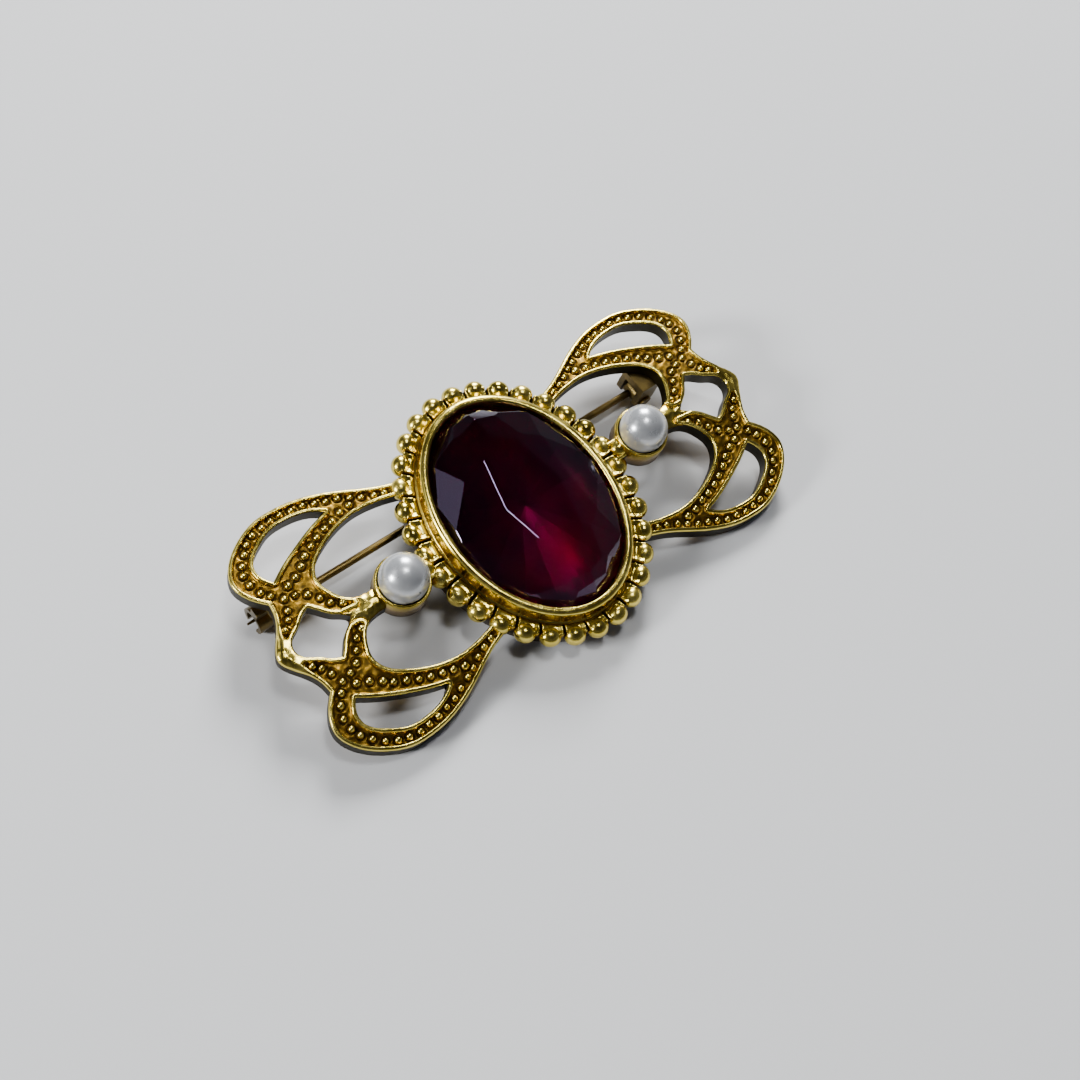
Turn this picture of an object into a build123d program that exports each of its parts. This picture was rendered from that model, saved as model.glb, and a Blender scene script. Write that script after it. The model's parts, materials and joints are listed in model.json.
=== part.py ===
from build123d import *
import math
import os

# A bow brooch that lies face up, as it rests by itself on its pin fittings and two of its lobes.
# It is drawn in the brooch's own frame, X along the bow, Y across it and Z out of its face,
# with z = 0 on the crest of the wings, and is then laid down into its resting place.

# Centre stone, an oval cut stone
stone_width = 17.4
stone_length = 23.5
girdle_z = 0.05
girdle_height = 0.5
crown_height = 2.75
pavilion_depth = 2.1
break_height = 0.8
break_share = 0.93
girdle_sides = 32
pavilion_sides = 16
break_sides = 16
stone_gap = 0.05

# Bezel, the smooth wall round the stone
bezel_wall = 0.9
bezel_crest_z = 1.1
bezel_round = 0.38
seat_ledge = 0.9
step_width = 0.35
step_z = -0.75

# Border of radial lobes that end in round beads
border_lobes = 32
steps_per_lobe = 24
border_side_reach = 1.55
border_end_reach = 1.1
border_bead_radius = 1.0
border_bead_z = -1.1
lobe_radius = 0.82
lobe_tail = 0.35
border_top_z = -1.3
back_z = -3.0
back_thickness = 0.6

# Wings, two looped ribbons a side, arched across the bow
wing_length = 16.75
wing_half_width = 13.5
wing_thickness = 1.8
arch_radius = 54.0
rim_width = 0.36
channel_depth = 0.45
flat_tip_length = 2.0
arm_head_reach = 1.3
wing_seam = 0.05
curve_steps = 8

# Pearls and the cups that hold them
pearl_diameter = 5.0
pearl_z = 1.42
pearl_gap = 0.04
cup_wall = 0.3
cup_lip_drop = 0.6
cup_tuck = 0.14

# Pin, its hinge and its catch
pin_offset = 0.75
pin_drop = 2.2
pin_diameter = 0.8
pin_point_length = 4.5
pin_point_radius = 0.12
pin_overshoot = 0.6
hinge_inset = 2.55
hinge_foot_length = 4.5
hinge_foot_height = 0.9
ear_width = 0.67
eye_width = 1.64
eye_radius = 1.0
eye_side_gap = 0.13
rivet_radius = 0.45
rivet_gap = 0.04
rivet_head_radius = 0.75
rivet_head_height = 0.25
catch_inset = 0.25
catch_length = 2.6
catch_radius = 1.45
catch_wall = 0.45
catch_mouth = 1.4
catch_post = 1.0
catch_foot_length = 3.4
catch_foot_width = 2.6
catch_foot_height = 0.5
solder_seam = 0.03

stone_a = stone_width / 2
stone_b = stone_length / 2
bezel_a = stone_a + stone_gap + bezel_wall
bezel_b = stone_b + stone_gap + bezel_wall
step_a = bezel_a + step_width
step_b = bezel_b + step_width
bead_a = step_a + border_side_reach
bead_b = step_b + border_end_reach
border_a = bead_a + border_bead_radius
half_length = border_a + wing_length
pearl_radius = pearl_diameter / 2
cup_radius = pearl_radius + pearl_gap + cup_wall
pearl_x = border_a + cup_radius - cup_tuck
pin_radius = pin_diameter / 2
pin_z = back_z - pin_drop
below = 2 * pin_z
above = 2 * pearl_diameter

# Crown facets in one quarter of the stone, each by three of its corners, as shares of the stone's
# half width, its half length and the crown's height: columns x, y, z.
CROWN_FACET_SHARES = [
    [(0.384, 0.0, 1.0), (0.247, 0.451, 1.0), (0.517, 0.0, 0.876)],
    [(0.247, 0.451, 1.0), (0.0, 0.613, 1.0), (0.328, 0.523, 0.891)],
    [(0.517, 0.0, 0.876), (0.563, 0.396, 0.724), (0.951, 0.309, 0.2)],
    [(0.678, 0.306, 0.578), (0.793, 0.443, 0.243), (0.885, 0.136, 0.332)],
    [(0.563, 0.396, 0.724), (0.328, 0.523, 0.891), (0.21, 0.755, 0.785)],
    [(0.276, 0.809, 0.582), (0.483, 0.766, 0.327), (0.138, 0.936, 0.335)],
    [(0.21, 0.755, 0.785), (0.0, 0.8, 0.865), (0.105, 0.995, 0.2)]]

# Edges of one wing's upper half, as shares of the wing's length beyond the border
# and of its half width: columns x, y.
OUTER_EDGE_SHARES = [
    (-0.235, 0.672), (-0.152, 0.705), (-0.063, 0.748), (0.146, 0.881), (0.266, 0.944),
    (0.385, 0.985), (0.504, 1.0), (0.624, 0.993), (0.743, 0.941), (0.863, 0.844),
    (0.940, 0.733), (0.967, 0.637), (0.952, 0.533), (0.910, 0.444), (0.860, 0.374)]
TIP_EDGE_SHARES = [
    (0.860, 0.374), (0.872, 0.289), (0.910, 0.193), (0.970, 0.089), (1.0, 0.0)]
CRESCENT_OUTER_SHARES = [
    (0.263, 0.770), (0.325, 0.822), (0.415, 0.859), (0.504, 0.870), (0.594, 0.859),
    (0.684, 0.807), (0.755, 0.748), (0.800, 0.667), (0.800, 0.593), (0.761, 0.504)]
CRESCENT_INNER_SHARES = [
    (0.761, 0.504), (0.684, 0.563), (0.564, 0.637), (0.445, 0.700), (0.343, 0.744),
    (0.263, 0.770)]
TEARDROP_SHARES = [
    (-0.185, 0.575), (-0.104, 0.607), (-0.003, 0.633), (0.116, 0.644), (0.236, 0.622),
    (0.355, 0.570), (0.445, 0.511), (0.516, 0.437), (0.549, 0.330), (0.528, 0.230),
    (0.493, 0.156), (0.439, 0.104), (0.361, 0.083)]
DIAMOND_PEARL_SIDE_SHARES = [
    (0.515, 0.0), (0.550, 0.040), (0.600, 0.083), (0.648, 0.152), (0.690, 0.214)]
DIAMOND_TIP_SIDE_SHARES = [
    (0.690, 0.214), (0.731, 0.193), (0.803, 0.126), (0.869, 0.074), (0.893, 0.0)]


def plan_point(share):
    return (border_a + share[0] * wing_length, share[1] * wing_half_width)


notch_x, notch_y = plan_point(OUTER_EDGE_SHARES[-1])
pin_y = notch_y + pin_offset
lip_drop = math.sqrt(catch_radius ** 2 - (catch_mouth / 2) ** 2)
hinge_half_width = eye_width / 2 + eye_side_gap + ear_width
hinge_foot_end = notch_x - hinge_inset
hinge_x = hinge_foot_end - hinge_foot_length + lip_drop
catch_x = catch_inset - notch_x
pin_tip_x = catch_x - catch_length / 2 - pin_overshoot


def curve(table):
    return Spline(*[plan_point(share) for share in table]).edge()


def crossing_curve(table):
    """A curve that ends on the bow's long axis, square to it."""
    points = [Vector(*plan_point(share)) for share in table]
    return Spline(*points, tangents=[points[1] - points[0], (0, -1, 0)]).edge()


def arch_z(y):
    """Height of the wings' top surface at y."""
    return math.sqrt(arch_radius ** 2 - y ** 2) - arch_radius


def under_arch(height):
    """Everything below a surface that runs this height above the wings' top surface."""
    reach = 2 * half_length
    return Pos(0, 0, -arch_radius) * Rot(0, 90, 0) * Cylinder(arch_radius + height, reach)


def oval(a, b, low, high):
    return Pos(0, 0, low) * extrude(Ellipse(a, b), high - low)


def block(x_range, y_range, z_range):
    centre = [(low + high) / 2 for low, high in (x_range, y_range, z_range)]
    size = [high - low for low, high in (x_range, y_range, z_range)]
    return Pos(*centre) * Box(*size)


def facet_plane(corners):
    """The plane through three corners, facing away from the stone's middle."""
    first, second, third = [Vector(*corner) for corner in corners]
    normal = (second - first).cross(third - first)
    return Plane(origin=first, z_dir=normal if normal.dot(first) > 0 else -normal)


def stone_point(turn, share, z):
    """A point at this turn round the stone, at a share of its half width and half length."""
    return (share * stone_a * math.cos(turn), share * stone_b * math.sin(turn), z)


def crown_facets(low, height):
    """The crown's facets, each mirrored into all four quarters of the stone."""
    planes = []
    for corners in CROWN_FACET_SHARES:
        for side in (1, -1):
            for end in (1, -1):
                planes.append(facet_plane([
                    (side * x * stone_a, end * y * stone_b, low + z * height) for x, y, z in corners]))
    return planes


def girdle_facets(sides, edge_z, inner_share, inner_z):
    """Facets all round that lean in from one edge of the girdle."""
    planes = []
    for k in range(sides):
        start = 2 * math.pi * k / sides
        end = 2 * math.pi * (k + 1) / sides
        inner = stone_point((start + end) / 2, inner_share, inner_z)
        planes.append(facet_plane([stone_point(start, 1, edge_z), stone_point(end, 1, edge_z), inner]))
    return planes


def make_centre_stone():
    """Oval cut stone: a table, crown facets, a break above the girdle and a pointed pavilion."""
    crown_z = girdle_z + girdle_height
    table_z = crown_z + crown_height
    culet_z = girdle_z - pavilion_depth
    planes = [Plane(origin=(0, 0, table_z), z_dir=(0, 0, 1))]
    planes += crown_facets(crown_z, crown_height)
    planes += girdle_facets(break_sides, crown_z, break_share, crown_z + break_height)
    planes += girdle_facets(pavilion_sides, girdle_z, 0, culet_z)

    girdle = [stone_point(2 * math.pi * k / girdle_sides, 1, culet_z) for k in range(girdle_sides)]
    stone = extrude(Face(Wire.make_polygon(girdle, close=True)), above, dir=(0, 0, 1))
    for plane in planes:
        stone = stone.split(plane, keep=Keep.BOTTOM)
    return stone.solids()[0]


def border_places():
    """Bead centres at equal steps along the border's oval, each with its outward direction."""
    steps = steps_per_lobe * border_lobes
    angles = [2 * math.pi * k / steps for k in range(steps + 1)]
    points = [(bead_a * math.cos(t), bead_b * math.sin(t)) for t in angles]
    lengths = [0.0]
    for k in range(steps):
        lengths.append(lengths[-1] + math.dist(points[k], points[k + 1]))
    places = []
    for n in range(border_lobes):
        goal = lengths[-1] * (n + 0.5) / border_lobes
        k = max(i for i in range(steps) if lengths[i] <= goal)
        share = (goal - lengths[k]) / (lengths[k + 1] - lengths[k])
        t = angles[k] + share * (angles[k + 1] - angles[k])
        x, y = bead_a * math.cos(t), bead_b * math.sin(t)
        places.append((x, y, math.degrees(math.atan2(y / bead_b ** 2, x / bead_a ** 2))))
    return places


def make_setting():
    """Bezel, stepped foot, back plate and the border of lobes and beads, all one casting."""
    ledge_z = girdle_z - pavilion_depth * seat_ledge / stone_a - stone_gap
    body = oval(bezel_a, bezel_b, back_z, bezel_crest_z)
    body -= oval(bezel_a - bezel_wall, bezel_b - bezel_wall, ledge_z, bezel_crest_z)
    body = fillet(body.edges().group_by(Axis.Z)[-1], bezel_round)
    body -= oval(stone_a - seat_ledge, stone_b - seat_ledge, back_z + back_thickness, bezel_crest_z)
    foot = oval(step_a, step_b, back_z, step_z) + oval(bead_a, bead_b, back_z, border_top_z)
    body += foot - oval(bezel_a - bezel_wall / 2, bezel_b - bezel_wall / 2, back_z, bezel_crest_z)
    bar = Cylinder(lobe_radius, border_end_reach + lobe_tail, align=(Align.CENTER, Align.CENTER, Align.MIN))
    lobe = Rot(0, -90, 0) * bar + Sphere(border_bead_radius)
    lobes = [Pos(x, y, border_bead_z) * Rot(0, 0, turn) * lobe for x, y, turn in border_places()]
    return body + lobes


def wing_plan():
    """Outline of the right wing and the holes through it."""
    def closed(edges):
        return Face(Wire(edges))

    def mirrored(shape):
        return shape.mirror(Plane.XZ)

    rim = [curve(OUTER_EDGE_SHARES), crossing_curve(TIP_EDGE_SHARES)]
    root_x, root_y = plan_point(OUTER_EDGE_SHARES[0])
    root = Edge.make_line((root_x, root_y), (root_x, -root_y))
    outline = closed(rim + [mirrored(edge) for edge in rim] + [root])
    crescent = closed([curve(CRESCENT_OUTER_SHARES), curve(CRESCENT_INNER_SHARES)])
    start_x, start_y = plan_point(TEARDROP_SHARES[0])
    end_x, end_y = plan_point(TEARDROP_SHARES[-1])
    foot = Wire.make_polygon([(end_x, end_y), (start_x, end_y), (start_x, start_y)], close=False)
    teardrop = closed([curve(TEARDROP_SHARES), *foot.edges()])
    sides = [curve(DIAMOND_PEARL_SIDE_SHARES), crossing_curve(DIAMOND_TIP_SIDE_SHARES)]
    diamond = closed(sides + [mirrored(edge) for edge in sides])
    return outline, [crescent, mirrored(crescent), teardrop, mirrored(teardrop), diamond]


def redrawn(plan):
    """The same plan with each bent edge drawn as a spline through points of its own."""
    def redraw(wire):
        edges = []
        for edge in wire.edges():
            points = [edge @ (k / curve_steps) for k in range(curve_steps + 1)]
            straight = edge.geom_type == GeomType.LINE
            edges.append(edge if straight else Spline(*points).edge())
        return Wire(edges)

    return Face(redraw(plan.outer_wire()), [redraw(wire) for wire in plan.inner_wires()])


def channel_plans(outline, holes):
    """The sunk middle of the ribbons, a rim's width inside their edges, with plain arm heads and tips."""
    arm_x, arm_y = plan_point(TEARDROP_SHARES[-1])
    arm_head = Rectangle(2 * (arm_x + arm_head_reach), 2 * arm_y + 4 * rim_width)
    tips = Pos(half_length - flat_tip_length + wing_length / 2, 0) * Rectangle(wing_length, 2 * notch_y)
    grown_holes = [offset(hole, rim_width) for hole in holes]
    middle = offset(outline, -rim_width) - grown_holes - arm_head - tips
    return [redrawn(plan) for plan in middle.faces()]


def make_wing():
    """Right wing: looped ribbons with raised rims and a sunk channel, and the pearl's cup."""
    outline, holes = wing_plan()
    solid_plan = outline - holes
    low = arch_z(wing_half_width) - 2 * wing_thickness
    wing = Pos(0, 0, low) * extrude(solid_plan, above - low, dir=(0, 0, 1))
    wing = (wing & under_arch(0)) - under_arch(-wing_thickness)

    for plan in channel_plans(outline, holes):
        channel = Pos(0, 0, low) * extrude(plan, above - low, dir=(0, 0, 1))
        wing -= channel - under_arch(-channel_depth)

    cup_lip_z = pearl_z - cup_lip_drop
    cup = Pos(pearl_x, 0, -wing_thickness) * Cylinder(
        cup_radius, cup_lip_z + wing_thickness, align=(Align.CENTER, Align.CENTER, Align.MIN))
    wing += cup
    wing -= Pos(pearl_x, 0, pearl_z) * Sphere(pearl_radius + pearl_gap)

    wing -= oval(bead_a + wing_seam, bead_b + wing_seam, below, above)
    beads = []
    for x, y, _ in border_places():
        if x > 0 and abs(y) < wing_half_width:
            beads.append(Pos(x, y, border_bead_z) * Sphere(border_bead_radius + wing_seam))
    pieces = (wing - beads).solids()
    return pieces.sort_by(SortBy.VOLUME)[-1]


def make_pearl(side):
    return Pos(side * pearl_x, 0, pearl_z) * Sphere(pearl_radius)


def cross_cylinder(radius, width):
    """A cylinder along Y on the hinge's axis."""
    return Pos(hinge_x, pin_y, pin_z) * Rot(90, 0, 0) * Cylinder(radius, width)


def long_cylinder(radius, low_x, high_x):
    """A cylinder along X on the pin's axis."""
    return Pos((low_x + high_x) / 2, pin_y, pin_z) * Rot(0, 90, 0) * Cylinder(radius, high_x - low_x)


def make_pin_hinge():
    """Foot soldered under the right wing, and two ears that hold the rivet."""
    sides = (pin_y - hinge_half_width, pin_y + hinge_half_width)
    foot_z = arch_z(sides[1]) - wing_thickness - hinge_foot_height
    hinge = block((hinge_x - lip_drop, hinge_foot_end), sides, (foot_z, 0))
    hinge &= under_arch(-wing_thickness - solder_seam)
    hinge += block((hinge_x - lip_drop, hinge_x + lip_drop), sides, (pin_z, foot_z))
    hinge += cross_cylinder(lip_drop, 2 * hinge_half_width)
    slot = eye_width / 2 + eye_side_gap
    hinge -= block((hinge_x - wing_length, hinge_foot_end), (pin_y - slot, pin_y + slot), (below, foot_z))
    return hinge - cross_cylinder(rivet_radius + rivet_gap, 2 * hinge_half_width)


def make_hinge_rivet():
    shank = cross_cylinder(rivet_radius, 2 * (hinge_half_width + rivet_gap))
    heads = cross_cylinder(rivet_head_radius, 2 * (hinge_half_width + rivet_gap + rivet_head_height))
    return shank + (heads - cross_cylinder(2 * rivet_head_radius, 2 * (hinge_half_width + rivet_gap)))


def make_pin_stem():
    """Eye round the rivet, and the straight pin with its point."""
    point_start = pin_tip_x + pin_point_length
    stem = long_cylinder(pin_radius, point_start, hinge_x)
    point = Cone(pin_radius, pin_point_radius, pin_point_length)
    stem += Pos(point_start - pin_point_length / 2, pin_y, pin_z) * Rot(0, -90, 0) * point
    stem += cross_cylinder(eye_radius, eye_width)
    return stem - cross_cylinder(rivet_radius + rivet_gap, eye_width)


def make_pin_catch():
    """Foot and post under the left wing with a curled hook that opens away from the back."""
    low_x, high_x = catch_x - catch_length / 2, catch_x + catch_length / 2
    foot_sides = (pin_y - catch_foot_width / 2, pin_y + catch_foot_width / 2)
    foot_z = arch_z(foot_sides[1]) - wing_thickness - catch_foot_height
    foot = block((-notch_x, catch_foot_length - notch_x), foot_sides, (foot_z, 0))
    foot &= under_arch(-wing_thickness - solder_seam)
    post_sides = (pin_y - catch_post / 2, pin_y + catch_post / 2)
    catch = foot + block((low_x, high_x), post_sides, (pin_z, foot_z))
    catch += long_cylinder(catch_radius, low_x, high_x)
    catch -= long_cylinder(catch_radius - catch_wall, low_x, high_x)
    return catch - block((low_x, high_x), (pin_y - catch_mouth / 2, pin_y + catch_mouth / 2), (below, pin_z))


def make_parts():
    wing = make_wing()
    return {
        "setting": make_setting(),
        "centre_stone": make_centre_stone(),
        "right_wing": wing,
        "left_wing": Rot(0, 0, 180) * wing,
        "right_pearl": make_pearl(1),
        "left_pearl": make_pearl(-1),
        "pin_hinge": make_pin_hinge(),
        "hinge_rivet": make_hinge_rivet(),
        "pin_stem": make_pin_stem(),
        "pin_catch": make_pin_catch(),
    }


def resting_place(parts):
    """Where the brooch lies by itself: on its hinge and catch and on the lobes across from them."""
    fitting_y = pin_y - hinge_half_width
    fitting_z = pin_z - lip_drop
    lobe_z = math.sqrt((arch_radius - wing_thickness) ** 2 - wing_half_width ** 2) - arch_radius
    tilt = Rot(math.degrees(math.atan2(lobe_z - fitting_z, fitting_y + wing_half_width)), 0, 0)
    box = Compound([tilt * shape for shape in parts.values()]).bounding_box()
    return Pos(-box.center().X, -box.center().Y, -box.min.Z) * tilt


if __name__ == "__main__":
    os.makedirs("parts", exist_ok=True)
    parts = make_parts()
    place = resting_place(parts)
    for name, shape in parts.items():
        export_step(place * shape, f"parts/{name}.step")
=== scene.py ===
import json
import math

import bpy
import numpy as np
from mathutils import Matrix, Vector


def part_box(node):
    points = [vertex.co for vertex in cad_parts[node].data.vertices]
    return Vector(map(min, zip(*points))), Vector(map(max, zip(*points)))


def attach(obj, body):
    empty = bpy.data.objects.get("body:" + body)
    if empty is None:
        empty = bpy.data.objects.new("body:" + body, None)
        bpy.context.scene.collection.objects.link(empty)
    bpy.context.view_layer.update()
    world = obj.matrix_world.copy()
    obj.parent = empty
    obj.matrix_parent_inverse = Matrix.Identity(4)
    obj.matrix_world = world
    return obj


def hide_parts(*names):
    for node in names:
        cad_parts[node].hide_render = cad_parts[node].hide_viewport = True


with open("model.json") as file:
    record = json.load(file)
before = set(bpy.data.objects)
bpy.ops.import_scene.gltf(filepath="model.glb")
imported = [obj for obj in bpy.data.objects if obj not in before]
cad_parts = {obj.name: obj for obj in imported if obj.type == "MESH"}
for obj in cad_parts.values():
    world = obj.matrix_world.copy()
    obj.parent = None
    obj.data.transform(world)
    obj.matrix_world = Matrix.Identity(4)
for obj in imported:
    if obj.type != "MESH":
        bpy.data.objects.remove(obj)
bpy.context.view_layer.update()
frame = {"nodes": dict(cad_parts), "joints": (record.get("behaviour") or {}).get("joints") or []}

# A bow brooch lying face up. The casting is modelled in millimetres in the brooch's own frame,
# X along the bow, Y across it and Z out of its face, and then laid into the CAD's resting place.

nodes = frame["nodes"]
hinge = frame["joints"][0]
millimetre = 0.001

# Sizes in millimetres, as in the part's source
stone_a, stone_b = 8.7, 11.75
stone_gap = 0.05
girdle_z = 0.05
bezel_wall = 0.9
bezel_a, bezel_b = stone_a + stone_gap + bezel_wall, stone_b + stone_gap + bezel_wall
bezel_crest_z = 1.1
step_width = 0.35
step_z = -0.75
step_a, step_b = bezel_a + step_width, bezel_b + step_width
bead_a, bead_b = step_a + 1.55, step_b + 1.1
bead_radius = 1.0
bead_z = -1.1
bead_widening = 1.12
back_z = -3.0
border_a = bead_a + bead_radius
border_lobes = 32
wing_length = 16.75
wing_half_width = 13.5
wing_thickness = 1.8
arch_radius = 54.0
pearl_radius = 2.5
pearl_x = 15.25
pearl_z = 1.42
cup_radius = 2.84
cup_lip_z = 0.82

# The camera, from the photograph's perspective: angles and millimetres in the brooch's own frame
camera_elevation = 64.32
camera_azimuth = -65.79
camera_roll = 30.85
camera_distance = 149.855
camera_aim_right = 1.433
camera_aim_up = -3.418
focal_share = 1500 / 1080
sensor_width = 36
nearest_view = 0.01

# Fineness of the meshes: grid steps in millimetres, counts, and (rings, sides) of each ball
curve_step = 0.2
top_step = 0.05
back_step = 0.25
sheet_margin = 0.2
steps_per_lobe = 40
cup_sides = 72
solder_grid = (12, 20)
bead_grid = (24, 40)
pearl_grid = (48, 72)

# Relief of the wings: rims, sunk channels, and the pits round the small cast beads
rim_width = 0.32
rim_slope = 0.24
rim_round = 0.2
rim_waver = 0.012
floor_depth = 0.34
floor_waver = 0.06
pit_depth = 0.5
pit_width = 0.14
pit_offset = 0.06
bead_crest = 0.06
least_channel = 0.05

# Small cast beads: step along their rows, and how unevenly they were set
row_step = 0.05
casting_seed = 11
seed_scatter = (0.05, 0.05, 0.02)

# Plain forms of the wings: where they start, the arms' ends beside the neck, the domed tips, and
# the solder that joins each pearl's cup to the border
root_x = 8.4
root_seam = 0.05
head_x, head_y, head_radius = 21.07, 1.5, 0.95
tail_x, tail_y, tail_radius, tail_slope = 20.15, -0.92, 0.46, 0.12
arms_end_x, arms_end_y = 22.3, 2.7
neck_drop = 0.05
tip_start, tip_end = 27.2, 28.8
tip_inner_y, tip_outer_y = 4.0, 4.8
tip_taper = 1.3
dome_fall = 0.3
dome_reach = 1.1
dome_waver = 0.05
solder_x, solder_z = 12.55, -0.25
solder_size = (1.05, 0.95, 0.75)

# Slow waves over the casting: strength, then two factors, each as turns along X, along Y and a start
CASTING_WAVES = [(0.6, (2.9, 1.3, 0.0), (-1.1, 2.3, 0.7)), (0.4, (5.3, -2.1, 1.9), (1.9, 4.7, 0.0))]

# Relief of the border's petals
petal_inset = 0.05
petal_crest_z = -0.44
petal_scoop = 0.2
petal_rise = 0.14
petal_rise_start = 0.55
petal_ridge = 0.1
ridge_start, ridge_end = 0.45, 0.75
petal_lip_share = 0.3
petal_lip_drop = 0.3
gap_depth = 0.95
gap_start, gap_end = 0.84, 0.98
PETAL_ROWS = [0.0, 0.05, 0.1, 0.17, 0.24, 0.32, 0.4, 0.5, 0.6, 0.7, 0.8, 0.9, 1.0]

# How dark the patina and the painted shade lie, from 0, bare gold, to 1; painted shade darkens walls,
# undersides, gaps and bead feet
# Channel floors: real patina deepened with painted shade, in uneven blotches
channel_patina_and_shade, channel_patina_and_shade_swing, channel_patina_and_shade_stretch = 0.72, 0.26, 1.3
neck_patina, neck_patina_width = 0.5, 0.2
# Small beads are painted darker towards their feet: painted shade in the pits
seed_shade_z, seed_shade_fade, seed_shade_curve = -0.22, 0.2, 1.5
# The wing walls are painted fully dark as painted shade
wing_wall_painted_shade, wing_back_patina = 1.0, 0.5
# Pearl cups: a light patina above, painted shade on the foot below
cup_patina, cup_foot_painted_shade, cup_foot_z = 0.1, 0.95, -0.6
# The bezel's foot: warm patina on top, painted shade where it turns down
foot_patina, foot_edge_painted_shade, foot_top_z = 0.25, 0.75, -0.6
# Petal roots next to the bezel foot are painted dark as painted shade
petal_root_painted_shade, petal_root_share = 0.75, 0.14
# Painted shade in the gaps between petals starts a little before the gaps themselves
gap_painted_shade_lead = 0.04
# The setting's outer wall is painted dark as painted shade
setting_wall_painted_shade = 0.95
# Border beads are painted darker towards their undersides: painted shade
bead_painted_shade, bead_shade_drop, bead_shade_fade = 0.8, 0.25, 0.5

# Colours and their unevenness
BLACK, WHITE = (0, 0, 0), (1, 1, 1)
warm_patina_colour = (0.36, 0.20, 0.016)
# The dark colour below stands for both the patina and painted shade
dark_patina_and_shade_colour = (0.020, 0.016, 0.006)
patina_roughness = 0.5
ANTIQUE_GOLD = {"bright": (0.81, 0.65, 0.14), "deep": (0.57, 0.44, 0.07), "roughness": 0.22}
# Pin parts: aged gold, darkened further as painted shade since they lie under the brooch
AGED_AND_SHADED_GOLD = {"bright": (0.24, 0.17, 0.055), "deep": (0.10, 0.075, 0.03), "roughness": 0.36}
PEARL_TONES = [(0.3, (0.44, 0.46, 0.48)), (0.7, (0.56, 0.57, 0.58))]
GLASS_TONES = [(0.3, (0.27, 0.007, 0.120)), (0.7, (0.35, 0.011, 0.150))]
FOIL_TONES = [(0.40, (0.072, 0.004, 0.050)), (0.64, (0.130, 0.005, 0.028))]
foil_roughness = 0.43
FLOOR_TONES = [(0.3, (0.60, 0.61, 0.62)), (0.7, (0.64, 0.65, 0.66))]
SKY_TONES = [(0.0, (0.22, 0.225, 0.24)), (0.85, (0.022, 0.022, 0.032))]
sky_strength = 0.9

# Worn edges of the CAD nodes that stay, in metres
joined_corners = 0.000002
facet_wear = 0.00004
facet_angle = math.radians(6)
cast_edge_wear = 0.00008

# The floor's side and the lights' distance in metres, and the lights: name, direction along the
# picture's right, up and towards the eye, size in metres, power in watts
floor_side = 4
light_distance = 0.6
STUDIO_LIGHTS = [("overhead", (0.19, 0.585, 0.79), 0.115, 1.3), ("lamp", (-0.77, 0.0, 0.63), 0.12, 4),
                 ("side_panel", (-0.6, 0.40, 0.69), 0.18, 0.16), ("window", (0.06, 0.99, 0.05), 0.20, 7)]

# Plan of the right wing's upper half, as shares of the wing's length beyond the border
# and of its half width: columns x, y.
OUTER_EDGE = [(-0.235, 0.672), (-0.152, 0.705), (-0.063, 0.748), (0.146, 0.881), (0.266, 0.944),
              (0.385, 0.985), (0.504, 1.0), (0.624, 0.993), (0.743, 0.941), (0.863, 0.844),
              (0.940, 0.733), (0.967, 0.637), (0.952, 0.533), (0.910, 0.444), (0.860, 0.374)]
TIP_EDGE = [(0.860, 0.374), (0.872, 0.289), (0.910, 0.193), (0.970, 0.089), (1.0, 0.0)]
CRESCENT_OUTER = [(0.263, 0.770), (0.325, 0.822), (0.415, 0.859), (0.504, 0.870), (0.594, 0.859),
                  (0.684, 0.807), (0.755, 0.748), (0.800, 0.667), (0.800, 0.593), (0.761, 0.504)]
CRESCENT_INNER = [(0.761, 0.504), (0.684, 0.563), (0.564, 0.637), (0.445, 0.700), (0.343, 0.744),
                  (0.263, 0.770)]
TEARDROP = [(-0.185, 0.575), (-0.104, 0.607), (-0.003, 0.633), (0.116, 0.644), (0.236, 0.622),
            (0.355, 0.570), (0.445, 0.511), (0.516, 0.437), (0.549, 0.330), (0.528, 0.230),
            (0.493, 0.156), (0.439, 0.104), (0.361, 0.083)]
DIAMOND_PEARL_SIDE = [(0.515, 0.0), (0.550, 0.040), (0.600, 0.083), (0.648, 0.152), (0.690, 0.214)]
DIAMOND_TIP_SIDE = [(0.690, 0.214), (0.731, 0.193), (0.803, 0.126), (0.869, 0.074), (0.893, 0.0)]

# Rows of small cast beads: their path in the same shares, pitch and radius in millimetres.
LOOP_ROW = ([(-0.10, 0.665), (-0.02, 0.705), (0.06, 0.752), (0.146, 0.808), (0.266, 0.871),
             (0.385, 0.916), (0.504, 0.933), (0.624, 0.922), (0.743, 0.860), (0.833, 0.756),
             (0.880, 0.644), (0.875, 0.548), (0.820, 0.440), (0.745, 0.345), (0.660, 0.320),
             (0.594, 0.215), (0.555, 0.145), (0.505, 0.110)], 1.15, 0.36)
INNER_ROW = ([(0.120, 0.725), (0.200, 0.702), (0.270, 0.680), (0.349, 0.650), (0.457, 0.594),
              (0.564, 0.516), (0.640, 0.455), (0.705, 0.424)], 1.25, 0.39)
TIP_ROW = ([(0.789, 0.269), (0.827, 0.206), (0.865, 0.159)], 1.0, 0.36)

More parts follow.
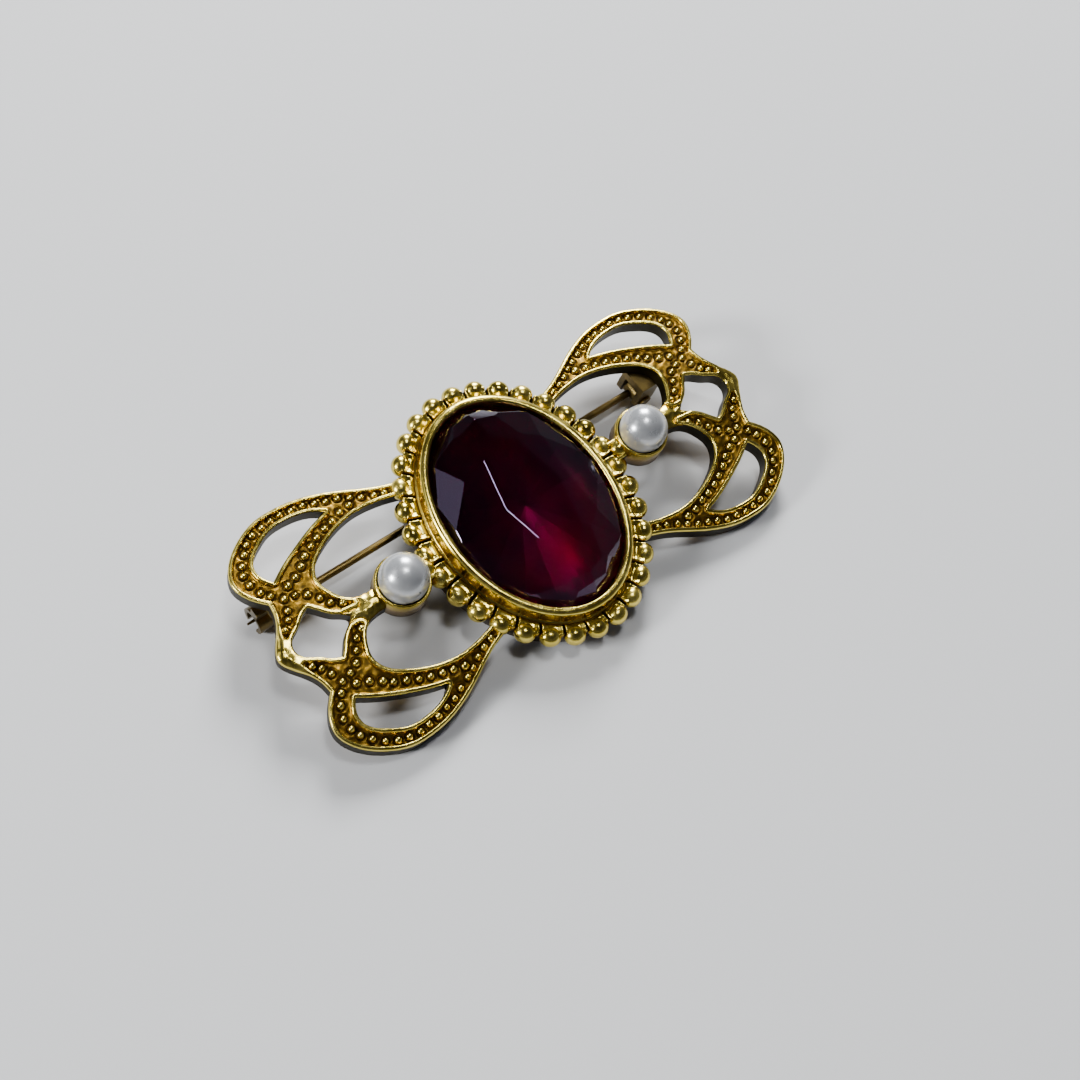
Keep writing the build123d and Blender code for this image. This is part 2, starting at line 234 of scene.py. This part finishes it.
# Profiles in millimetres, each with its height as the second column: a pearl's cup as insets from
# its radius, the bezel and its foot as reaches beyond the bezel's oval, and the wall and back of the
# setting as insets from the border.
CUP_PROFILE = [(cup_radius, -wing_thickness), (0.1, -wing_thickness), (0.0, 0.1 - wing_thickness),
               (0.0, 0.5), (0.03, 0.68), (0.1, 0.79), (0.2, cup_lip_z), (0.28, 0.77), (0.31, 0.6),
               (0.36, 0.2), (0.6, -0.3)]
BEZEL_PROFILE = [(-bezel_wall, -0.3), (-bezel_wall, 0.72), (-0.84, 0.95), (-0.7, 1.07),
                 (-0.5, bezel_crest_z), (-0.3, 1.07), (-0.1, 0.96), (0.0, 0.78), (0.0, 0.3),
                 (0.02, -0.3), (0.06, -0.62), (0.14, step_z + 0.02), (0.3, step_z),
                 (step_width, step_z - 0.06), (step_width + 0.03, step_z - 0.2)]
WALL_PROFILE = [(0.0, -1.6), (0.0, back_z + 0.2), (0.15, back_z)]


def middle(node):
    """The middle of a CAD node's box."""
    low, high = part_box(node)
    return (low + high) / 2


tilt = math.atan2(-hinge["axis"][2], -hinge["axis"][1])
pearl_middle = (middle("left_pearl") + middle("right_pearl")) / 2
lay = (Matrix.Translation(pearl_middle) @ Matrix.Rotation(tilt, 4, "X") @ Matrix.Scale(millimetre, 4)
       @ Matrix.Translation((0, 0, -pearl_z)))


def plan(table):
    """A table of shares in millimetres."""
    return [(border_a + x * wing_length, y * wing_half_width) for x, y in table]


def smooth_curve(points, spacing=curve_step):
    """Points at equal steps along a natural cubic spline through the given ones."""
    given = np.asarray(points, float)
    at = np.concatenate([[0], np.cumsum(np.hypot(*np.diff(given, axis=0).T))])
    gaps = np.diff(at)
    count = len(given)
    system = np.eye(count)
    right = np.zeros((count, 2))
    for i in range(1, count - 1):
        system[i, i - 1:i + 2] = gaps[i - 1], 2 * (gaps[i - 1] + gaps[i]), gaps[i]
        right[i] = 6 * ((given[i + 1] - given[i]) / gaps[i] - (given[i] - given[i - 1]) / gaps[i - 1])
    bend = np.linalg.solve(system, right)
    steps = np.linspace(0, at[-1], int(at[-1] / spacing) + 2)
    k = np.clip(np.searchsorted(at, steps, side="right") - 1, 0, count - 2)
    near = (steps - at[k])[:, None]
    gap = gaps[k][:, None]
    far = gap - near
    curve = (bend[k] * far ** 3 + bend[k + 1] * near ** 3) / (6 * gap)
    curve = curve + (given[k] / gap - bend[k] * gap / 6) * far
    return curve + (given[k + 1] / gap - bend[k + 1] * gap / 6) * near


def mirrored_curve(table):
    """A curve that reaches the wing's middle line and runs on as its own mirror image."""
    half = plan(table)
    return smooth_curve(half + [(x, -y) for x, y in half[-2::-1]])


def joined(*curves):
    """One closed loop from curves that meet end to end."""
    return np.concatenate([curve[:-1] for curve in curves])


def wing_loops():
    """The wing's outline and its five holes."""
    flip = np.array((1, -1))
    upper = smooth_curve(plan(OUTER_EDGE))
    outline = joined(upper, mirrored_curve(TIP_EDGE), upper[::-1] * flip)
    crescent = joined(smooth_curve(plan(CRESCENT_OUTER)), smooth_curve(plan(CRESCENT_INNER)))
    start, end = plan(TEARDROP)[0], plan(TEARDROP)[-1]
    teardrop = np.concatenate([smooth_curve(plan(TEARDROP)), [(start[0], end[1])]])
    pearl_side = smooth_curve(plan(DIAMOND_PEARL_SIDE))
    diamond = joined(pearl_side, mirrored_curve(DIAMOND_TIP_SIDE), pearl_side[::-1] * flip)
    return [outline, crescent, crescent * flip, teardrop, teardrop * flip, diamond]


def edge_distance(loops, x, y):
    """Distance to the nearest edge, positive on the metal."""
    no_length = 1e-12
    nearest = np.full(x.shape, np.inf)
    inside = np.zeros(x.shape, bool)
    for loop in loops:
        for (ax, ay), (bx, by) in zip(loop, np.roll(loop, -1, axis=0)):
            dx, dy = bx - ax, by - ay
            share = np.clip(((x - ax) * dx + (y - ay) * dy) / (dx * dx + dy * dy + no_length), 0, 1)
            nearest = np.minimum(nearest, (x - ax - share * dx) ** 2 + (y - ay - share * dy) ** 2)
            if ay != by:
                inside ^= ((ay > y) != (by > y)) & (x < ax + (y - ay) * dx / dy)
    return np.where(inside, 1, -1) * np.sqrt(nearest)


def smoothstep(low, high, value):
    """0 at low, 1 at high and a smooth rise between them."""
    share = np.clip((value - low) / (high - low), 0, 1)
    return share * share * (3 - 2 * share)


def seed_places():
    """Centres and radii of the small cast beads, a little uneven as castings are."""
    chance = np.random.default_rng(casting_seed)
    places = []
    for table, pitch, radius in (LOOP_ROW, INNER_ROW, TIP_ROW):
        path = smooth_curve(plan(table), row_step)
        count = round(row_step * (len(path) - 1) / pitch)
        for k in range(count + 1):
            x, y = path[round(k * (len(path) - 1) / count)]
            for side in (1, -1):
                dx, dy, grow = chance.normal(0, seed_scatter)
                places.append((x + dx, side * y + dy, radius + grow))
    return places


def arm_reach(x, y):
    """How far a point is inside an arm's end near the pearl, negative on the neck between the arms."""
    rounded = np.where(x < head_x, head_radius - np.hypot(x - head_x, y - head_y), y - head_y + head_radius)
    beyond = x - tail_x
    narrow = np.where(beyond < 0, tail_radius - np.hypot(beyond, y - tail_y),
                      tail_y + tail_radius - tail_slope * beyond - y)
    reach = np.maximum(rounded, narrow)
    return np.where((x < arms_end_x) & (np.abs(y) < arms_end_y) & (x > pearl_x), reach, np.inf)


def waver(x, y):
    """The slow unevenness of a casting, between -1 and 1."""
    total = 0
    for strength, (ax, ay, a), (bx, by, b) in CASTING_WAVES:
        total = total + strength * (np.sin(ax * x + ay * y + a) * np.sin(bx * x + by * y + b))
    return total


def relief(x, y, d):
    """Height of the wing's face above its arch, and how dark it is there with patination and painted shade.
    """
    arm = arm_reach(x, y)
    edge = np.minimum(d, np.abs(arm))
    neck = arm < 0
    rim = np.sqrt(np.clip(rim_round ** 2 - np.clip(rim_round - edge, 0, rim_round) ** 2, 0, None)) - rim_round
    plain = smoothstep(tip_start, tip_end, x) * smoothstep(tip_outer_y, tip_inner_y, np.abs(y))
    taper = tip_taper * plain
    sunk = smoothstep(rim_width + taper, rim_width + rim_slope + taper, edge) * ~neck
    height = rim - floor_depth * sunk + waver(x, y) * (rim_waver + (floor_waver - rim_waver) * sunk)
    # Channel floors painted dark in blotches: part real patina, part painted shade
    blotches = waver(channel_patina_and_shade_stretch * y, channel_patina_and_shade_stretch * x)
    patina_and_shade = (channel_patina_and_shade + channel_patina_and_shade_swing * blotches) * sunk
    domed = dome_fall * (1 - np.clip(edge / dome_reach, 0, 1)) ** 2 - dome_waver * waver(y, x)
    height = np.where(neck, -neck_drop - domed, height - domed * plain)
    patina_and_shade = np.where(neck, neck_patina * smoothstep(neck_patina_width, 0.0, edge), patina_and_shade)
    for seed_x, seed_y, radius in seed_places():
        close = np.hypot(x - seed_x, y - seed_y)
        ring = np.exp(-((close - radius - pit_offset) / pit_width) ** 2) * sunk
        height = height - (pit_depth - floor_depth) * ring
        # The pit round each bead is painted fully dark: part patina, part painted shade
        patina_and_shade = np.maximum(patina_and_shade, ring)
        dome = np.sqrt(np.clip(1 - (close / radius) ** 2, 0, None)) * (pit_depth - bead_crest) - pit_depth
        on = (close < radius) & (sunk > least_channel)
        height = np.where(on, np.maximum(height, dome), height)
        # Painted shade: each small bead darkens towards its foot in the pit
        shade = np.clip((seed_shade_z - dome) / seed_shade_fade, 0, 1) ** seed_shade_curve
        patina_and_shade = np.where(on, shade, patina_and_shade)
    return height, patina_and_shade


def arch(radius_change, y):
    """Height of the wing's arch across it, or of a surface beside it."""
    return np.sqrt((arch_radius + radius_change) ** 2 - y ** 2) - arch_radius


def wing_sheet(loops, step):
    """Grid points on the wing's plan with their edge distance, the cells on it and its border edges."""
    xs = np.arange(root_x, border_a + wing_length + sheet_margin, step)
    ys = np.arange(-wing_half_width - sheet_margin, wing_half_width + sheet_margin, step)
    x, y = np.meshgrid(xs, ys, indexing="ij")
    d = edge_distance(loops, x, y)
    slope_x, slope_y = np.gradient(d, step)
    outside = (x / (bead_a + root_seam)) ** 2 + (y / (bead_b + root_seam)) ** 2 > 1
    middle_d = (d[:-1, :-1] + d[1:, :-1] + d[:-1, 1:] + d[1:, 1:]) / 4
    keep = (middle_d > 0) & outside[:-1, :-1] & outside[1:, 1:] & outside[1:, :-1] & outside[:-1, 1:]
    cells_round = np.zeros(x.shape, int)
    for i in (0, 1):
        for j in (0, 1):
            cells_round[i:i + keep.shape[0], j:j + keep.shape[1]] += keep
    edge = (cells_round > 0) & (cells_round < 4) & (np.abs(d) < step)
    x = np.where(edge, x - d * slope_x, x)
    y = np.where(edge, y - d * slope_y, y)
    d = np.where(edge, 0, np.clip(d, 0, None))
    used = cells_round > 0
    number = np.cumsum(used).reshape(used.shape) - 1
    i, j = np.nonzero(keep)
    corners = [number[i, j], number[i + 1, j], number[i + 1, j + 1], number[i, j + 1]]
    padded = np.pad(keep, 1)
    borders = []
    for (di, dj), (a, b) in (((0, -1), (0, 1)), ((1, 0), (1, 2)), ((0, 1), (2, 3)), ((-1, 0), (3, 0))):
        bare = ~padded[i + 1 + di, j + 1 + dj]
        borders.append(np.stack([corners[a][bare], corners[b][bare]], axis=1))
    return x[used], y[used], d[used], np.stack(corners, axis=1), np.concatenate(borders)


def lathe(profile, centre, sides):
    """Points and faces of a turned shape with a vertical axis."""
    points = []
    faces = []
    for radius, z in profile:
        for k in range(sides):
            turn = 2 * math.pi * k / sides
            points.append((centre[0] + radius * math.cos(turn), centre[1] + radius * math.sin(turn), z))
    for row in range(len(profile) - 1):
        below, above = row * sides, (row + 1) * sides
        for k in range(sides):
            after = (k + 1) % sides
            faces.append((below + k, below + after, above + after, above + k))
    return points, faces


def ball(centre, radius, rings, sides):
    """Points and faces of a ball with a vertical axis."""
    points = [(centre[0], centre[1], centre[2] + radius)]
    for r in range(1, rings):
        down = math.pi * r / rings
        for s in range(sides):
            turn = 2 * math.pi * s / sides
            points.append((centre[0] + radius * math.sin(down) * math.cos(turn),
                           centre[1] + radius * math.sin(down) * math.sin(turn),
                           centre[2] + radius * math.cos(down)))
    points.append((centre[0], centre[1], centre[2] - radius))
    faces = [(0, 1 + s, 1 + (s + 1) % sides) for s in range(sides)]
    for r in range(rings - 2):
        for s in range(sides):
            a, b = 1 + r * sides + s, 1 + r * sides + (s + 1) % sides
            faces.append((a, a + sides, b + sides, b))
    last = len(points) - 1
    faces += [(last, last - sides + (s + 1) % sides, last - sides + s) for s in range(sides)]
    return points, faces


def gather(parts):
    """Joins lists of points, faces and patination-and-painted-shade values into one."""
    points, faces, patina_and_shade = [], [], []
    for some_points, some_faces, some_patina in parts:
        start = len(points)
        points += [tuple(p) for p in some_points]
        faces += [tuple(int(v) + start for v in face) for face in some_faces]
        patina_and_shade += list(some_patina)
    return points, faces, patina_and_shade


def wing_walls(x, y, z, borders):
    """Walls from the face's border down to the wing's back."""
    edge = np.unique(borders)
    place = {int(v): n for n, v in enumerate(edge)}
    points = []
    for v in edge:
        points.append((x[v], y[v], z[v]))
        points.append((x[v], y[v], arch(-wing_thickness, y[v])))
    faces = []
    for a, b in borders:
        first, second = 2 * place[int(a)], 2 * place[int(b)]
        faces.append((first, first + 1, second + 1, second))
    # The walls are painted dark all over: painted shade
    return points, faces, [wing_wall_painted_shade] * len(points)


def pearl_cup():
    """The cup that a pearl sits in."""
    points, faces = lathe([(cup_radius - inset, z) for inset, z in CUP_PROFILE], (pearl_x, 0), cup_sides)
    # The cup's lower part is painted dark: painted shade under it
    return points, faces, [cup_patina if z > cup_foot_z else cup_foot_painted_shade for _, _, z in points]


def solder_drop():
    """The drop of solder between the cup and the border."""
    points, faces = ball((0, 0, 0), 1, *solder_grid)
    points = [(solder_x + x * solder_size[0], y * solder_size[1], solder_z + z * solder_size[2])
              for x, y, z in points]
    return points, faces, [0.0] * len(points)


def wing_parts():
    """The right wing: face, walls, back, the pearl's cup and its solder."""
    loops = wing_loops()
    x, y, d, cells, borders = wing_sheet(loops, top_step)
    height, patina_and_shade = relief(x, y, d)
    z = arch(0, y) + height
    face = (np.stack([x, y, z], axis=1), cells, patina_and_shade)
    back_x, back_y, _, back_cells, _ = wing_sheet(loops, back_step)
    back_points = np.stack([back_x, back_y, arch(-wing_thickness, back_y)], axis=1)
    back = (back_points, back_cells[:, ::-1], [wing_back_patina] * len(back_x))
    return gather([face, wing_walls(x, y, z, borders), back, pearl_cup(), solder_drop()])


def border_places():
    """Bead centres at equal steps along the border's oval, and how many lobes along it a place is."""
    angles = np.linspace(0, 2 * math.pi, steps_per_lobe * border_lobes + 1)
    lengths = np.concatenate([[0], np.cumsum(np.hypot(np.diff(bead_a * np.cos(angles)),
                                                      np.diff(bead_b * np.sin(angles))))])
    goals = lengths[-1] * (np.arange(border_lobes) + 0.5) / border_lobes

    def phase(t):
        return np.interp(t, angles, lengths) / lengths[-1] * border_lobes

    return np.interp(goals, lengths, angles), phase


def oval_point(t, reach, z):
    """A point beyond the bezel's oval."""
    return ((bezel_a + reach) * math.cos(t), (bezel_b + reach) * math.sin(t), z)


def bezel_patina_and_shade(z):
    """Bare on the bezel, warm patination on its foot and painted shade where the foot turns down."""
    if z > foot_top_z:
        return 0.0
    return foot_edge_painted_shade if z < step_z else foot_patina


def petal_height(share, across):
    """A petal's height, a share of the way out to its bead and across its half width."""
    lip = petal_lip_drop * (1 - float(smoothstep(0.0, petal_lip_share, share)))
    scoop = petal_scoop * math.sin(math.pi * share) * (1 - across ** 2)
    ridge = petal_ridge * float(smoothstep(ridge_start, ridge_end, across))
    rise = petal_rise * float(smoothstep(petal_rise_start, 1.0, share)) * (1 - across ** 2)
    gap = gap_depth * float(smoothstep(gap_start, gap_end, across))
    return petal_crest_z - lip - scoop + ridge + rise - gap


def setting_ring(phase):
    """Bezel, its foot, the ring of petals with gaps between them, the wall and the back plate."""
    around = border_lobes * steps_per_lobe
    inner = step_width + petal_inset
    outer = bead_a - bezel_a
    points, patina_and_shade = [], []
    for n in range(around):
        t = 2 * math.pi * n / around
        across = abs(phase(t) % 1 - 0.5) * 2
        # Painted shade in the gaps between the petals
        gap = float(smoothstep(gap_start - gap_painted_shade_lead, gap_end - gap_painted_shade_lead, across))
        for reach, z in BEZEL_PROFILE:
            points.append(oval_point(t, reach, z))
            patina_and_shade.append(bezel_patina_and_shade(z))
        side = 1 + (bead_b - bezel_b - outer) / outer * math.sin(t) ** 2
        for share in PETAL_ROWS:
            reach = inner + (outer * side - inner) * share
            points.append(oval_point(t, reach, petal_height(share, across)))
            # Petals: painted shade in the gaps between them and at their roots by the bezel
            patina_and_shade.append(max(gap, petal_root_painted_shade * float(smoothstep(petal_root_share, 0.0, share))))
        for inset, z in WALL_PROFILE:
            points.append(oval_point(t, outer * side - inset, z))
            # The wall is painted dark: painted shade
            patina_and_shade.append(setting_wall_painted_shade)
    rows = len(BEZEL_PROFILE) + len(PETAL_ROWS) + len(WALL_PROFILE)
    faces = []
    for n in range(around):
        after = (n + 1) % around
        for r in range(rows - 1):
            faces.append((n * rows + r, n * rows + r + 1, after * rows + r + 1, after * rows + r))
    faces.append([n * rows + rows - 1 for n in range(around)][::-1])
    return points, faces, patina_and_shade


def border_bead(t):
    """A bead of the border, which is a little wider along the border than across it."""
    centre = (bead_a * math.cos(t), bead_b * math.sin(t), bead_z)
    outward = math.atan2(math.sin(t) / bead_b, math.cos(t) / bead_a)
    cos, sin = math.cos(outward), math.sin(outward)
    round_points, faces = ball((0, 0, 0), bead_radius, *bead_grid)
    points, patina_and_shade = [], []
    for x, y, z in round_points:
        y *= bead_widening
        points.append((centre[0] + x * cos - y * sin, centre[1] + x * sin + y * cos, centre[2] + z))
        # Painted shade: each border bead darkens below its middle
        shade = float(np.clip((bead_z - bead_shade_drop - points[-1][2]) / bead_shade_fade, 0, 1))
        patina_and_shade.append(shade * bead_painted_shade)
    return points, faces, patina_and_shade


def setting_parts():
    """The setting's ring and the border's beads."""
    centres, phase = border_places()
    return gather([setting_ring(phase)] + [border_bead(t) for t in centres])


def new_material(name):
    """A new material with its node tree and its shader."""
    material = bpy.data.materials.new(name)
    material.use_nodes = True
    tree = material.node_tree
    return material, tree, tree.nodes["Principled BSDF"]


def set_sockets(node, **sockets):
    """Sets sockets by name, with an underscore for each space."""
    for name, value in sockets.items():
        node.inputs[name.replace("_", " ")].default_value = value


def feed(tree, value, socket):
    """Links an output to a socket, or sets the socket to a number."""
    if isinstance(value, bpy.types.NodeSocket):
        tree.links.new(value, socket)
    else:
        socket.default_value = value


def ramp(tree, source, stops):
    """A colour ramp's output."""
    node = tree.nodes.new("ShaderNodeValToRGB")
    elements = node.color_ramp.elements
    for element, (place, colour) in zip(elements, stops):
        element.position = place
        element.color = (*colour, 1)
    tree.links.new(source, node.inputs["Fac"])
    return node.outputs["Color"]


def scaled_noise(tree, scale, detail):
    """Noise with that many features a metre."""
    place = tree.nodes.new("ShaderNodeTexCoord")
    texture = tree.nodes.new("ShaderNodeTexNoise")
    set_sockets(texture, Scale=scale, Detail=detail, Roughness=0.55)
    tree.links.new(place.outputs["Object"], texture.inputs["Vector"])
    return texture.outputs["Fac"]


def mix(tree, share, a, b):
    """A colour between a and b, each an output or a colour."""
    node = tree.nodes.new("ShaderNodeMix")
    node.data_type = "RGBA"
    for name, kind, value in (("Factor", "VALUE", share), ("A", "RGBA", a), ("B", "RGBA", b)):
        socket = next(s for s in node.inputs if s.name == name and s.type == kind)
        feed(tree, (*value, 1) if isinstance(value, tuple) else value, socket)
    return next(s for s in node.outputs if s.type == "RGBA")


def calculate(tree, operation, first, second):
    """A math node's output, from outputs or numbers."""
    node = tree.nodes.new("ShaderNodeMath")
    node.operation = operation
    feed(tree, first, node.inputs[0])
    feed(tree, second, node.inputs[1])
    return node.outputs["Value"]


def grey(value):
    """A grey as a colour."""
    return (value,) * 3


def gold_material(name, bright, deep, roughness, with_patina_and_shade):
    """Cast gold-tone plating, uneven in colour and gloss, with dark patination in the recesses and painted
    shade on walls, undersides and gaps, both read from a mesh attribute.
    """
    material, tree, shader = new_material(name)
    shader.inputs["Metallic"].default_value = 1
    blotches = scaled_noise(tree, scale=420, detail=3)
    gold = mix(tree, ramp(tree, blotches, [(0.35, BLACK), (0.65, WHITE)]), deep, bright)
    rough = ramp(tree, blotches, [(0.3, grey(roughness * 0.75)), (0.7, grey(roughness * 1.35))])
    if with_patina_and_shade:
        attribute = tree.nodes.new("ShaderNodeAttribute")
        attribute.attribute_name = "patina_and_shade"
        warm = ramp(tree, attribute.outputs["Fac"], [(0.0, BLACK), (0.5, WHITE)])
        gold = mix(tree, warm, gold, warm_patina_colour)
        # Dark patina and painted shade, from the same attribute
        dark = ramp(tree, attribute.outputs["Fac"], [(0.35, BLACK), (1.0, WHITE)])
        gold = mix(tree, dark, gold, dark_patina_and_shade_colour)
        rough = mix(tree, dark, rough, grey(patina_roughness))
    tree.links.new(gold, shader.inputs["Base Color"])
    tree.links.new(rough, shader.inputs["Roughness"])
    grain = tree.nodes.new("ShaderNodeBump")
    set_sockets(grain, Strength=0.35, Distance=0.00005)
    tree.links.new(scaled_noise(tree, scale=2600, detail=3), grain.inputs["Height"])
    tree.links.new(grain.outputs["Normal"], shader.inputs["Normal"])
    return material


def pearl_material():
    """Pearl lacquer with a soft gloss under a clear coat."""
    material, tree, shader = new_material("pearl_lacquer")
    set_sockets(shader, Metallic=0.6, Coat_Weight=0.6, Coat_Roughness=0.12, Sheen_Weight=0.15)
    cloud = scaled_noise(tree, scale=500, detail=3)
    tree.links.new(ramp(tree, cloud, PEARL_TONES), shader.inputs["Base Color"])
    rough = ramp(tree, cloud, [(0.3, grey(0.24)), (0.7, grey(0.34))])
    tree.links.new(rough, shader.inputs["Roughness"])
    return material


def glass_material():
    """Dark red cut glass, with red foil behind the pavilion, which is all that lies under the girdle."""
    material, tree, shader = new_material("red_glass")
    # The lilac specular tint is a painted reflection of bluish surroundings on the glass
    set_sockets(shader, IOR=1.54, Specular_Tint=(0.70, 0.58, 1.0, 1))
    face_way = (lay.to_3x3() @ Vector((0, 0, 1))).normalized()
    girdle_level = (lay @ Vector((0, 0, girdle_z))).dot(face_way)
    place = tree.nodes.new("ShaderNodeTexCoord")
    level = tree.nodes.new("ShaderNodeVectorMath")
    level.operation = "DOT_PRODUCT"
    level.inputs[1].default_value = face_way
    tree.links.new(place.outputs["Object"], level.inputs[0])
    foil = calculate(tree, "LESS_THAN", level.outputs["Value"], girdle_level)
    depth = scaled_noise(tree, scale=90, detail=2)
    colour = mix(tree, foil, ramp(tree, depth, GLASS_TONES), ramp(tree, depth, FOIL_TONES))
    scuffs = ramp(tree, scaled_noise(tree, scale=1500, detail=2), [(0.4, grey(0.0)), (0.75, grey(0.03))])
    tree.links.new(colour, shader.inputs["Base Color"])
    tree.links.new(foil, shader.inputs["Metallic"])
    tree.links.new(calculate(tree, "SUBTRACT", 1, foil), shader.inputs["Transmission Weight"])
    tree.links.new(mix(tree, foil, scuffs, grey(foil_roughness)), shader.inputs["Roughness"])
    return material


def add_piece(name, node, slot, material, points, faces, patina_and_shade=None):
    """A mesh piece that stands for a CAD node, from points in the brooch's own frame."""
    mesh = bpy.data.meshes.new(name)
    mesh.from_pydata([tuple(p) for p in points], [], [tuple(f) for f in faces])
    mesh.transform(lay)
    mesh.materials.append(material)
    if patina_and_shade is not None:
        layer = mesh.attributes.new("patina_and_shade", "FLOAT", "POINT")
        layer.data.foreach_set("value", np.asarray(patina_and_shade, dtype=np.float32))
    mesh.polygons.foreach_set("use_smooth", [True] * len(mesh.polygons))
    piece = bpy.data.objects.new(name, mesh)
    bpy.context.scene.collection.objects.link(piece)
    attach(piece, "brooch")
    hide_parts(node)


def dress_node(name, material):
    """Gives a CAD node that stays its material."""
    node = nodes[name]
    node.data.materials.clear()
    node.data.materials.append(material)
    return node


def wear_edges(node, name, width, segments):
    """Rounds a CAD node's edges a little."""
    edge = node.modifiers.new(name, "BEVEL")
    edge.width = width
    edge.segments = segments
    edge.limit_method = "ANGLE"
    return edge


def build():
    """The castings and pearls in place of their CAD nodes, and materials for the nodes that stay."""
    gold = gold_material("antique_gold", **ANTIQUE_GOLD, with_patina_and_shade=True)
    aged_and_shaded = gold_material("aged_and_shaded_gold", **AGED_AND_SHADED_GOLD, with_patina_and_shade=False)
    points, faces, patina_and_shade = wing_parts()
    for side, name in ((1, "right_wing"), (-1, "left_wing")):
        turned = [(side * x, side * y, z) for x, y, z in points]
        add_piece(name + "_casting", name, "gold_metal", gold, turned, faces, patina_and_shade)
    add_piece("setting_casting", "setting", "gold_metal", gold, *setting_parts())
    pearl = pearl_material()
    for side, name in ((1, "right_pearl"), (-1, "left_pearl")):
        points, faces = ball((side * pearl_x, 0, pearl_z), pearl_radius, *pearl_grid)
        add_piece(name + "_bead", name, "pearl", pearl, points, faces)
    stone = dress_node("centre_stone", glass_material())
    stone.modifiers.new("joined_corners", "WELD").merge_threshold = joined_corners
    wear_edges(stone, "worn_facet_edges", facet_wear, 1).angle_limit = facet_angle
    # The pin parts take the dark gold: age and painted shade
    dress_node("pin_stem", aged_and_shaded)
    for name in ("pin_hinge", "pin_catch", "hinge_rivet"):
        wear_edges(dress_node(name, aged_and_shaded), "soft_edges", cast_edge_wear, 2)


def add_floor():
    """A plain pale floor under the brooch."""
    bpy.ops.mesh.primitive_plane_add(size=floor_side)
    floor = bpy.context.object
    floor.name = "floor"
    material, tree, shader = new_material("pale_floor")
    tone = ramp(tree, scaled_noise(tree, scale=6, detail=2), FLOOR_TONES)
    tree.links.new(tone, shader.inputs["Base Color"])
    shader.inputs["Roughness"].default_value = 0.85
    floor.data.materials.append(material)


def camera_axes():
    """The picture's right, up and towards the eye, turned from the brooch's own frame as it lies."""
    up_angle, turn, roll = (math.radians(a) for a in (camera_elevation, camera_azimuth, camera_roll))
    level = math.cos(up_angle)
    back = Vector((math.sin(turn) * level, -math.cos(turn) * level, math.sin(up_angle)))
    right = Vector((0, 0, 1)).cross(back).normalized()
    up = back.cross(right)
    laid = Matrix.Rotation(tilt, 3, "X")
    rolled_right = right * math.cos(roll) + up * math.sin(roll)
    rolled_up = up * math.cos(roll) - right * math.sin(roll)
    return laid @ rolled_right, laid @ rolled_up, laid @ back


def add_camera():
    """The camera at the photograph's viewing angle."""
    right, up, back = camera_axes()
    centre = lay @ Vector((0, 0, 0))
    away = right * camera_aim_right + up * camera_aim_up + back * camera_distance
    data = bpy.data.cameras.new("camera")
    data.sensor_width = sensor_width
    data.lens = sensor_width * focal_share
    data.clip_start = nearest_view
    camera = bpy.data.objects.new("camera", data)
    turn = Matrix((right, up, back)).transposed().to_4x4()
    camera.matrix_world = Matrix.Translation(centre + away * millimetre) @ turn
    bpy.context.scene.collection.objects.link(camera)
    bpy.context.scene.camera = camera


def add_light(name, toward, size, power):
    """A soft square light in a direction given along the picture's right, up and towards the eye."""
    right, up, back = camera_axes()
    way = (right * toward[0] + up * toward[1] + back * toward[2]).normalized()
    data = bpy.data.lights.new(name, "AREA")
    data.size = size
    data.energy = power
    light = bpy.data.objects.new(name, data)
    facing = way.to_track_quat("Z", "Y").to_matrix().to_4x4()
    light.matrix_world = Matrix.Translation(way * light_distance) @ facing
    bpy.context.scene.collection.objects.link(light)


def add_studio():
    """Soft lights, and a sky that darkens upwards so that the gloss has depth."""
    for light in STUDIO_LIGHTS:
        add_light(*light)
    world = bpy.data.worlds.new("studio")
    world.use_nodes = True
    tree = world.node_tree
    way = tree.nodes.new("ShaderNodeTexCoord")
    parts = tree.nodes.new("ShaderNodeSeparateXYZ")
    tree.links.new(way.outputs["Generated"], parts.inputs["Vector"])
    background = tree.nodes["Background"]
    tree.links.new(ramp(tree, parts.outputs["Z"], SKY_TONES), background.inputs["Color"])
    background.inputs["Strength"].default_value = sky_strength
    bpy.context.scene.world = world


build()
add_floor()
add_camera()
add_studio()
